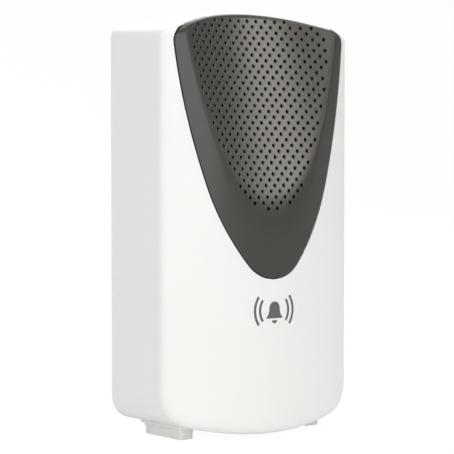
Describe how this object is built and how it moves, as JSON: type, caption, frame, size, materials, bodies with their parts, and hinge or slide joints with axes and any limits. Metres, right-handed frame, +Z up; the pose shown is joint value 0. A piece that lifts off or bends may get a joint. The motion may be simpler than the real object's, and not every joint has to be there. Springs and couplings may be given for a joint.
{
  "type": "wireless doorbell chime",
  "caption": "Upright indoor chime unit on two small feet, with a bulging white case and a dark perforated shield shaped grille that runs over its top edge.",
  "frame": {"origin": "under the middle of the unit, on the surface that its feet stand on", "axes": "+Z up, -Y the way the grille faces, +X to the viewer's right"},
  "size_m": [0.0833, 0.0414, 0.1498],
  "materials": {
    "white_case": "fine matt white moulding",
    "white_control": "smooth white moulding",
    "dark_grille": "dark grey satin moulding, perforated",
    "switch_black": "black moulded plastic",
    "socket_cream": "cream moulded plastic",
    "board_green": "solder resist on glass laminate",
    "capacitor_sleeve": "dark printed sleeve",
    "bright_steel": "plated steel sheet",
    "antenna_wire": "tinned wire",
    "cell_can": "plain printed sleeve with a bare plus end",
    "contact_spring": "nickel plated spring steel",
    "screw_zinc": "zinc plated",
    "foam_black": "soft black ring",
    "ferrite": "sintered ferrite",
    "copper_coil": "enamelled copper winding",
    "paper_cone": "dark pressed paper",
    "spider_cloth": "varnished cloth"
  },
  "bodies": {
    "housing": {"front_cover": "white_case", "grille_insert": "dark_grille", "rear_cover": "white_case", "cover_screws": "screw_zinc", "battery_cell_upper": "cell_can", "battery_cell_middle": "cell_can", "battery_cell_lower": "cell_can", "circuit_board": "board_green", "controller_chip": "switch_black", "amplifier_chip": "switch_black", "capacitors": "capacitor_sleeve", "crystal": "bright_steel", "radio_board": "board_green", "radio_shield": "bright_steel", "antenna": "antenna_wire", "speaker_socket": "socket_cream", "battery_socket": "socket_cream", "melody_switch": "switch_black", "volume_switch": "switch_black", "board_screws": "screw_zinc", "contact_positive": "contact_spring", "contact_negative": "contact_spring", "contact_bridge_left": "contact_spring", "contact_bridge_right": "contact_spring", "speaker_gasket": "foam_black", "speaker_frame": "bright_steel", "speaker_top_plate": "bright_steel", "speaker_magnet": "ferrite", "speaker_yoke": "bright_steel", "speaker_surround": "foam_black", "speaker_spider": "spider_cloth", "speaker_terminals": "board_green", "speaker_washers": "screw_zinc", "speaker_screws": "screw_zinc"},
    "battery_door": {"battery_door": "white_case"},
    "melody_button": {"melody_button": "white_control", "melody_plunger": "switch_black"},
    "volume_slider": {"volume_slider": "white_control", "volume_lever": "switch_black"},
    "speaker_cone": {"speaker_cone": "paper_cone", "speaker_dust_cap": "paper_cone", "voice_coil": "copper_coil"}
  },
  "joints": [
    {"name": "battery_door_hinge", "type": "hinge", "parent": "housing", "child": "battery_door", "pos_m": [0, 0.0197, 0.01185], "axis": [-1, 0, 0], "range_deg": [0, 90]},
    {"name": "melody_button_press", "type": "slide", "parent": "housing", "child": "melody_button", "axis": [-1, 0, 0], "range_m": [0, 0.0008], "stiffness_N_per_m": 1500},
    {"name": "volume_slide", "type": "slide", "parent": "housing", "child": "volume_slider", "axis": [0, 0, 1], "range_m": [-0.003, 0.003]},
    {"name": "cone_travel", "type": "slide", "parent": "housing", "child": "speaker_cone", "axis": [0, -0.974, 0.2267], "range_m": [-0.0005, 0.0005], "stiffness_N_per_m": 1000}
  ]
}
